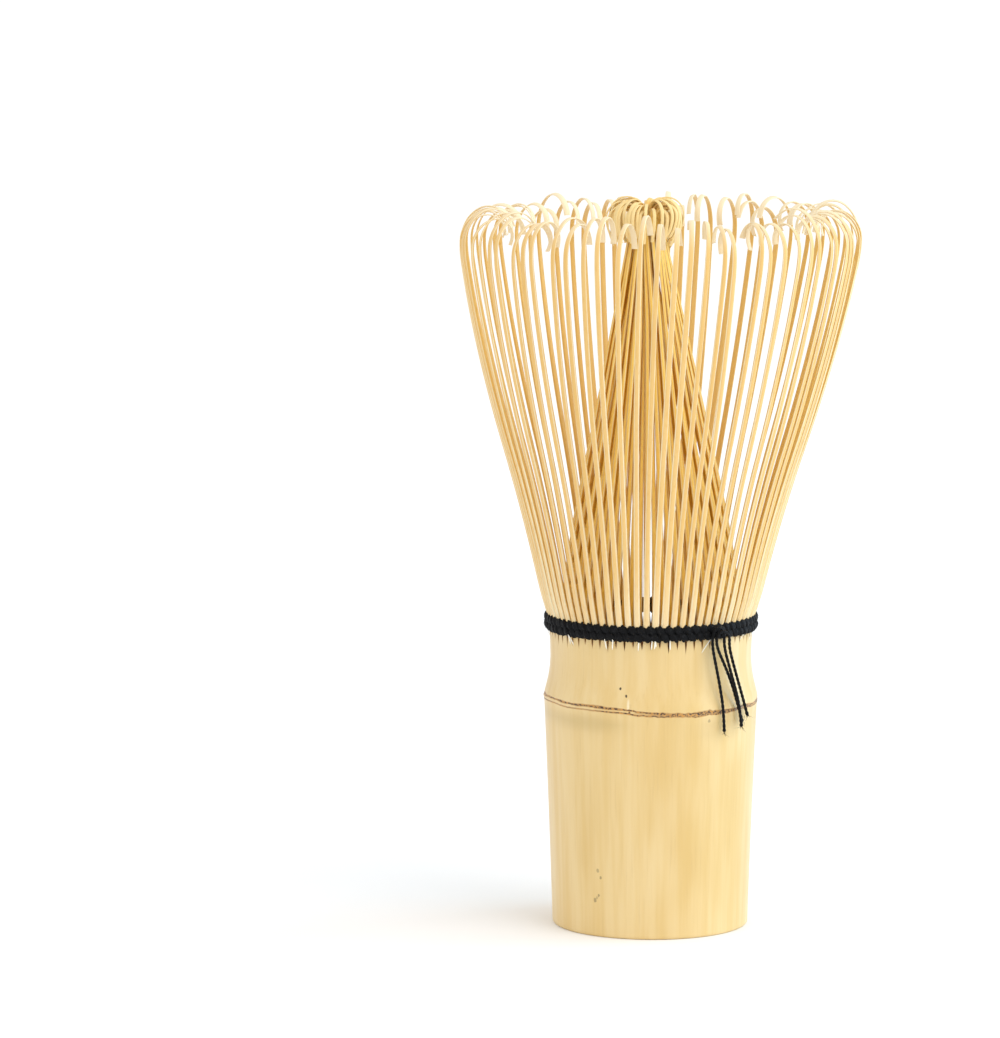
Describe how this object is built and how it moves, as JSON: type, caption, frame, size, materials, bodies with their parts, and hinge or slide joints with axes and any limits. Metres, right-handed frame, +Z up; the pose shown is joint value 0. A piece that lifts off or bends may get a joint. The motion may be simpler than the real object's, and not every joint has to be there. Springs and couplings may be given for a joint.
{
  "type": "bamboo tea whisk",
  "caption": "Bamboo tea whisk: a hollow handle carved from one culm, a flared ring of hooked outer tines, a cone of inner tines and a black thread binding.",
  "frame": {"origin": "centre of the handle's open end, on the floor", "axes": "+Z up along the culm towards the tines' tips, -Y towards the side from which the tie threads show at the right"},
  "size_m": [0.0604, 0.0604, 0.1114],
  "materials": {
    "culm_bamboo": "satin, smooth culm skin",
    "outer_tine_bamboo": "satin, carved and scraped",
    "inner_tine_bamboo": "matt, carved and scraped",
    "black_thread": "matt twisted cotton"
  },
  "bodies": {
    "handle": {"handle": "culm_bamboo", "lower_thread_course": "black_thread", "upper_thread_course": "black_thread", "inner_thread_course": "black_thread", "thread_knot": "black_thread", "tie_thread_1": "black_thread", "tie_thread_2": "black_thread"},
    "outer_sector_01": {"outer_tines_01": "outer_tine_bamboo"},
    "outer_sector_02": {"outer_tines_02": "outer_tine_bamboo"},
    "outer_sector_03": {"outer_tines_03": "outer_tine_bamboo"},
    "outer_sector_04": {"outer_tines_04": "outer_tine_bamboo"},
    "outer_sector_05": {"outer_tines_05": "outer_tine_bamboo"},
    "outer_sector_06": {"outer_tines_06": "outer_tine_bamboo"},
    "outer_sector_07": {"outer_tines_07": "outer_tine_bamboo"},
    "outer_sector_08": {"outer_tines_08": "outer_tine_bamboo"},
    "outer_sector_09": {"outer_tines_09": "outer_tine_bamboo"},
    "outer_sector_10": {"outer_tines_10": "outer_tine_bamboo"},
    "outer_sector_11": {"outer_tines_11": "outer_tine_bamboo"},
    "outer_sector_12": {"outer_tines_12": "outer_tine_bamboo"},
    "outer_sector_13": {"outer_tines_13": "outer_tine_bamboo"},
    "outer_sector_14": {"outer_tines_14": "outer_tine_bamboo"},
    "outer_sector_15": {"outer_tines_15": "outer_tine_bamboo"},
    "outer_sector_16": {"outer_tines_16": "outer_tine_bamboo"},
    "outer_sector_17": {"outer_tines_17": "outer_tine_bamboo"},
    "outer_sector_18": {"outer_tines_18": "outer_tine_bamboo"},
    "inner_sector_01": {"inner_tines_01": "inner_tine_bamboo"},
    "inner_sector_02": {"inner_tines_02": "inner_tine_bamboo"},
    "inner_sector_03": {"inner_tines_03": "inner_tine_bamboo"},
    "inner_sector_04": {"inner_tines_04": "inner_tine_bamboo"},
    "inner_sector_05": {"inner_tines_05": "inner_tine_bamboo"},
    "inner_sector_06": {"inner_tines_06": "inner_tine_bamboo"},
    "inner_sector_07": {"inner_tines_07": "inner_tine_bamboo"},
    "inner_sector_08": {"inner_tines_08": "inner_tine_bamboo"},
    "inner_sector_09": {"inner_tines_09": "inner_tine_bamboo"},
    "inner_sector_10": {"inner_tines_10": "inner_tine_bamboo"},
    "inner_sector_11": {"inner_tines_11": "inner_tine_bamboo"},
    "inner_sector_12": {"inner_tines_12": "inner_tine_bamboo"},
    "inner_sector_13": {"inner_tines_13": "inner_tine_bamboo"},
    "inner_sector_14": {"inner_tines_14": "inner_tine_bamboo"},
    "inner_sector_15": {"inner_tines_15": "inner_tine_bamboo"},
    "inner_sector_16": {"inner_tines_16": "inner_tine_bamboo"},
    "inner_sector_17": {"inner_tines_17": "inner_tine_bamboo"},
    "inner_sector_18": {"inner_tines_18": "inner_tine_bamboo"}
  },
  "joints": [
    {"name": "outer_bend_01", "type": "hinge", "parent": "handle", "child": "outer_sector_01", "pos_m": [0.01538, 0, 0.0484], "axis": [0, 1, 0], "range_deg": [-2.5, 3], "stiffness_Nm_per_rad": 0.015},
    {"name": "outer_bend_02", "type": "hinge", "parent": "handle", "child": "outer_sector_02", "pos_m": [0.01445, 0.00526, 0.0484], "axis": [-0.342, 0.9397, 0], "range_deg": [-2.5, 3], "stiffness_Nm_per_rad": 0.015},
    {"name": "outer_bend_03", "type": "hinge", "parent": "handle", "child": "outer_sector_03", "pos_m": [0.01178, 0.00988, 0.0484], "axis": [-0.6428, 0.766, 0], "range_deg": [-2.5, 3], "stiffness_Nm_per_rad": 0.015},
    {"name": "outer_bend_04", "type": "hinge", "parent": "handle", "child": "outer_sector_04", "pos_m": [0.00769, 0.01332, 0.0484], "axis": [-0.866, 0.5, 0], "range_deg": [-2.5, 3], "stiffness_Nm_per_rad": 0.015},
    {"name": "outer_bend_05", "type": "hinge", "parent": "handle", "child": "outer_sector_05", "pos_m": [0.00267, 0.01514, 0.0484], "axis": [-0.9848, 0.1736, 0], "range_deg": [-2.5, 3], "stiffness_Nm_per_rad": 0.015},
    {"name": "outer_bend_06", "type": "hinge", "parent": "handle", "child": "outer_sector_06", "pos_m": [-0.00267, 0.01514, 0.0484], "axis": [-0.9848, -0.1736, 0], "range_deg": [-2.5, 3], "stiffness_Nm_per_rad": 0.015},
    {"name": "outer_bend_07", "type": "hinge", "parent": "handle", "child": "outer_sector_07", "pos_m": [-0.00769, 0.01332, 0.0484], "axis": [-0.866, -0.5, 0], "range_deg": [-2.5, 3], "stiffness_Nm_per_rad": 0.015},
    {"name": "outer_bend_08", "type": "hinge", "parent": "handle", "child": "outer_sector_08", "pos_m": [-0.01178, 0.00988, 0.0484], "axis": [-0.6428, -0.766, 0], "range_deg": [-2.5, 3], "stiffness_Nm_per_rad": 0.015},
    {"name": "outer_bend_09", "type": "hinge", "parent": "handle", "child": "outer_sector_09", "pos_m": [-0.01445, 0.00526, 0.0484], "axis": [-0.342, -0.9397, 0], "range_deg": [-2.5, 3], "stiffness_Nm_per_rad": 0.015},
    {"name": "outer_bend_10", "type": "hinge", "parent": "handle", "child": "outer_sector_10", "pos_m": [-0.01538, 0, 0.0484], "axis": [0, -1, 0], "range_deg": [-2.5, 3], "stiffness_Nm_per_rad": 0.015},
    {"name": "outer_bend_11", "type": "hinge", "parent": "handle", "child": "outer_sector_11", "pos_m": [-0.01445, -0.00526, 0.0484], "axis": [0.342, -0.9397, 0], "range_deg": [-2.5, 3], "stiffness_Nm_per_rad": 0.015},
    {"name": "outer_bend_12", "type": "hinge", "parent": "handle", "child": "outer_sector_12", "pos_m": [-0.01178, -0.00988, 0.0484], "axis": [0.6428, -0.766, 0], "range_deg": [-2.5, 3], "stiffness_Nm_per_rad": 0.015},
    {"name": "outer_bend_13", "type": "hinge", "parent": "handle", "child": "outer_sector_13", "pos_m": [-0.00769, -0.01332, 0.0484], "axis": [0.866, -0.5, 0], "range_deg": [-2.5, 3], "stiffness_Nm_per_rad": 0.015},
    {"name": "outer_bend_14", "type": "hinge", "parent": "handle", "child": "outer_sector_14", "pos_m": [-0.00267, -0.01514, 0.0484], "axis": [0.9848, -0.1736, 0], "range_deg": [-2.5, 3], "stiffness_Nm_per_rad": 0.015},
    {"name": "outer_bend_15", "type": "hinge", "parent": "handle", "child": "outer_sector_15", "pos_m": [0.00267, -0.01514, 0.0484], "axis": [0.9848, 0.1736, 0], "range_deg": [-2.5, 3], "stiffness_Nm_per_rad": 0.015},
    {"name": "outer_bend_16", "type": "hinge", "parent": "handle", "child": "outer_sector_16", "pos_m": [0.00769, -0.01332, 0.0484], "axis": [0.866, 0.5, 0], "range_deg": [-2.5, 3], "stiffness_Nm_per_rad": 0.015},
    {"name": "outer_bend_17", "type": "hinge", "parent": "handle", "child": "outer_sector_17", "pos_m": [0.01178, -0.00988, 0.0484], "axis": [0.6428, 0.766, 0], "range_deg": [-2.5, 3], "stiffness_Nm_per_rad": 0.015},
    {"name": "outer_bend_18", "type": "hinge", "parent": "handle", "child": "outer_sector_18", "pos_m": [0.01445, -0.00526, 0.0484], "axis": [0.342, 0.9397, 0], "range_deg": [-2.5, 3], "stiffness_Nm_per_rad": 0.015},
    {"name": "inner_bend_01", "type": "hinge", "parent": "handle", "child": "inner_sector_01", "pos_m": [0.01349, 0, 0.0483], "axis": [0, 1, 0], "range_deg": [0, 5], "stiffness_Nm_per_rad": 0.01},
    {"name": "inner_bend_02", "type": "hinge", "parent": "handle", "child": "inner_sector_02", "pos_m": [0.01267, 0.00461, 0.0483], "axis": [-0.342, 0.9397, 0], "range_deg": [0, 5], "stiffness_Nm_per_rad": 0.01},
    {"name": "inner_bend_03", "type": "hinge", "parent": "handle", "child": "inner_sector_03", "pos_m": [0.01033, 0.00867, 0.0483], "axis": [-0.6428, 0.766, 0], "range_deg": [0, 5], "stiffness_Nm_per_rad": 0.01},
    {"name": "inner_bend_04", "type": "hinge", "parent": "handle", "child": "inner_sector_04", "pos_m": [0.00674, 0.01168, 0.0483], "axis": [-0.866, 0.5, 0], "range_deg": [0, 5], "stiffness_Nm_per_rad": 0.01},
    {"name": "inner_bend_05", "type": "hinge", "parent": "handle", "child": "inner_sector_05", "pos_m": [0.00234, 0.01328, 0.0483], "axis": [-0.9848, 0.1736, 0], "range_deg": [0, 5], "stiffness_Nm_per_rad": 0.01},
    {"name": "inner_bend_06", "type": "hinge", "parent": "handle", "child": "inner_sector_06", "pos_m": [-0.00234, 0.01328, 0.0483], "axis": [-0.9848, -0.1736, 0], "range_deg": [0, 5], "stiffness_Nm_per_rad": 0.01},
    {"name": "inner_bend_07", "type": "hinge", "parent": "handle", "child": "inner_sector_07", "pos_m": [-0.00674, 0.01168, 0.0483], "axis": [-0.866, -0.5, 0], "range_deg": [0, 5], "stiffness_Nm_per_rad": 0.01},
    {"name": "inner_bend_08", "type": "hinge", "parent": "handle", "child": "inner_sector_08", "pos_m": [-0.01033, 0.00867, 0.0483], "axis": [-0.6428, -0.766, 0], "range_deg": [0, 5], "stiffness_Nm_per_rad": 0.01},
    {"name": "inner_bend_09", "type": "hinge", "parent": "handle", "child": "inner_sector_09", "pos_m": [-0.01267, 0.00461, 0.0483], "axis": [-0.342, -0.9397, 0], "range_deg": [0, 5], "stiffness_Nm_per_rad": 0.01},
    {"name": "inner_bend_10", "type": "hinge", "parent": "handle", "child": "inner_sector_10", "pos_m": [-0.01349, 0, 0.0483], "axis": [0, -1, 0], "range_deg": [0, 5], "stiffness_Nm_per_rad": 0.01},
    {"name": "inner_bend_11", "type": "hinge", "parent": "handle", "child": "inner_sector_11", "pos_m": [-0.01267, -0.00461, 0.0483], "axis": [0.342, -0.9397, 0], "range_deg": [0, 5], "stiffness_Nm_per_rad": 0.01},
    {"name": "inner_bend_12", "type": "hinge", "parent": "handle", "child": "inner_sector_12", "pos_m": [-0.01033, -0.00867, 0.0483], "axis": [0.6428, -0.766, 0], "range_deg": [0, 5], "stiffness_Nm_per_rad": 0.01},
    {"name": "inner_bend_13", "type": "hinge", "parent": "handle", "child": "inner_sector_13", "pos_m": [-0.00674, -0.01168, 0.0483], "axis": [0.866, -0.5, 0], "range_deg": [0, 5], "stiffness_Nm_per_rad": 0.01},
    {"name": "inner_bend_14", "type": "hinge", "parent": "handle", "child": "inner_sector_14", "pos_m": [-0.00234, -0.01328, 0.0483], "axis": [0.9848, -0.1736, 0], "range_deg": [0, 5], "stiffness_Nm_per_rad": 0.01},
    {"name": "inner_bend_15", "type": "hinge", "parent": "handle", "child": "inner_sector_15", "pos_m": [0.00234, -0.01328, 0.0483], "axis": [0.9848, 0.1736, 0], "range_deg": [0, 5], "stiffness_Nm_per_rad": 0.01},
    {"name": "inner_bend_16", "type": "hinge", "parent": "handle", "child": "inner_sector_16", "pos_m": [0.00674, -0.01168, 0.0483], "axis": [0.866, 0.5, 0], "range_deg": [0, 5], "stiffness_Nm_per_rad": 0.01},
    {"name": "inner_bend_17", "type": "hinge", "parent": "handle", "child": "inner_sector_17", "pos_m": [0.01033, -0.00867, 0.0483], "axis": [0.6428, 0.766, 0], "range_deg": [0, 5], "stiffness_Nm_per_rad": 0.01},
    {"name": "inner_bend_18", "type": "hinge", "parent": "handle", "child": "inner_sector_18", "pos_m": [0.01267, -0.00461, 0.0483], "axis": [0.342, 0.9397, 0], "range_deg": [0, 5], "stiffness_Nm_per_rad": 0.01}
  ]
}
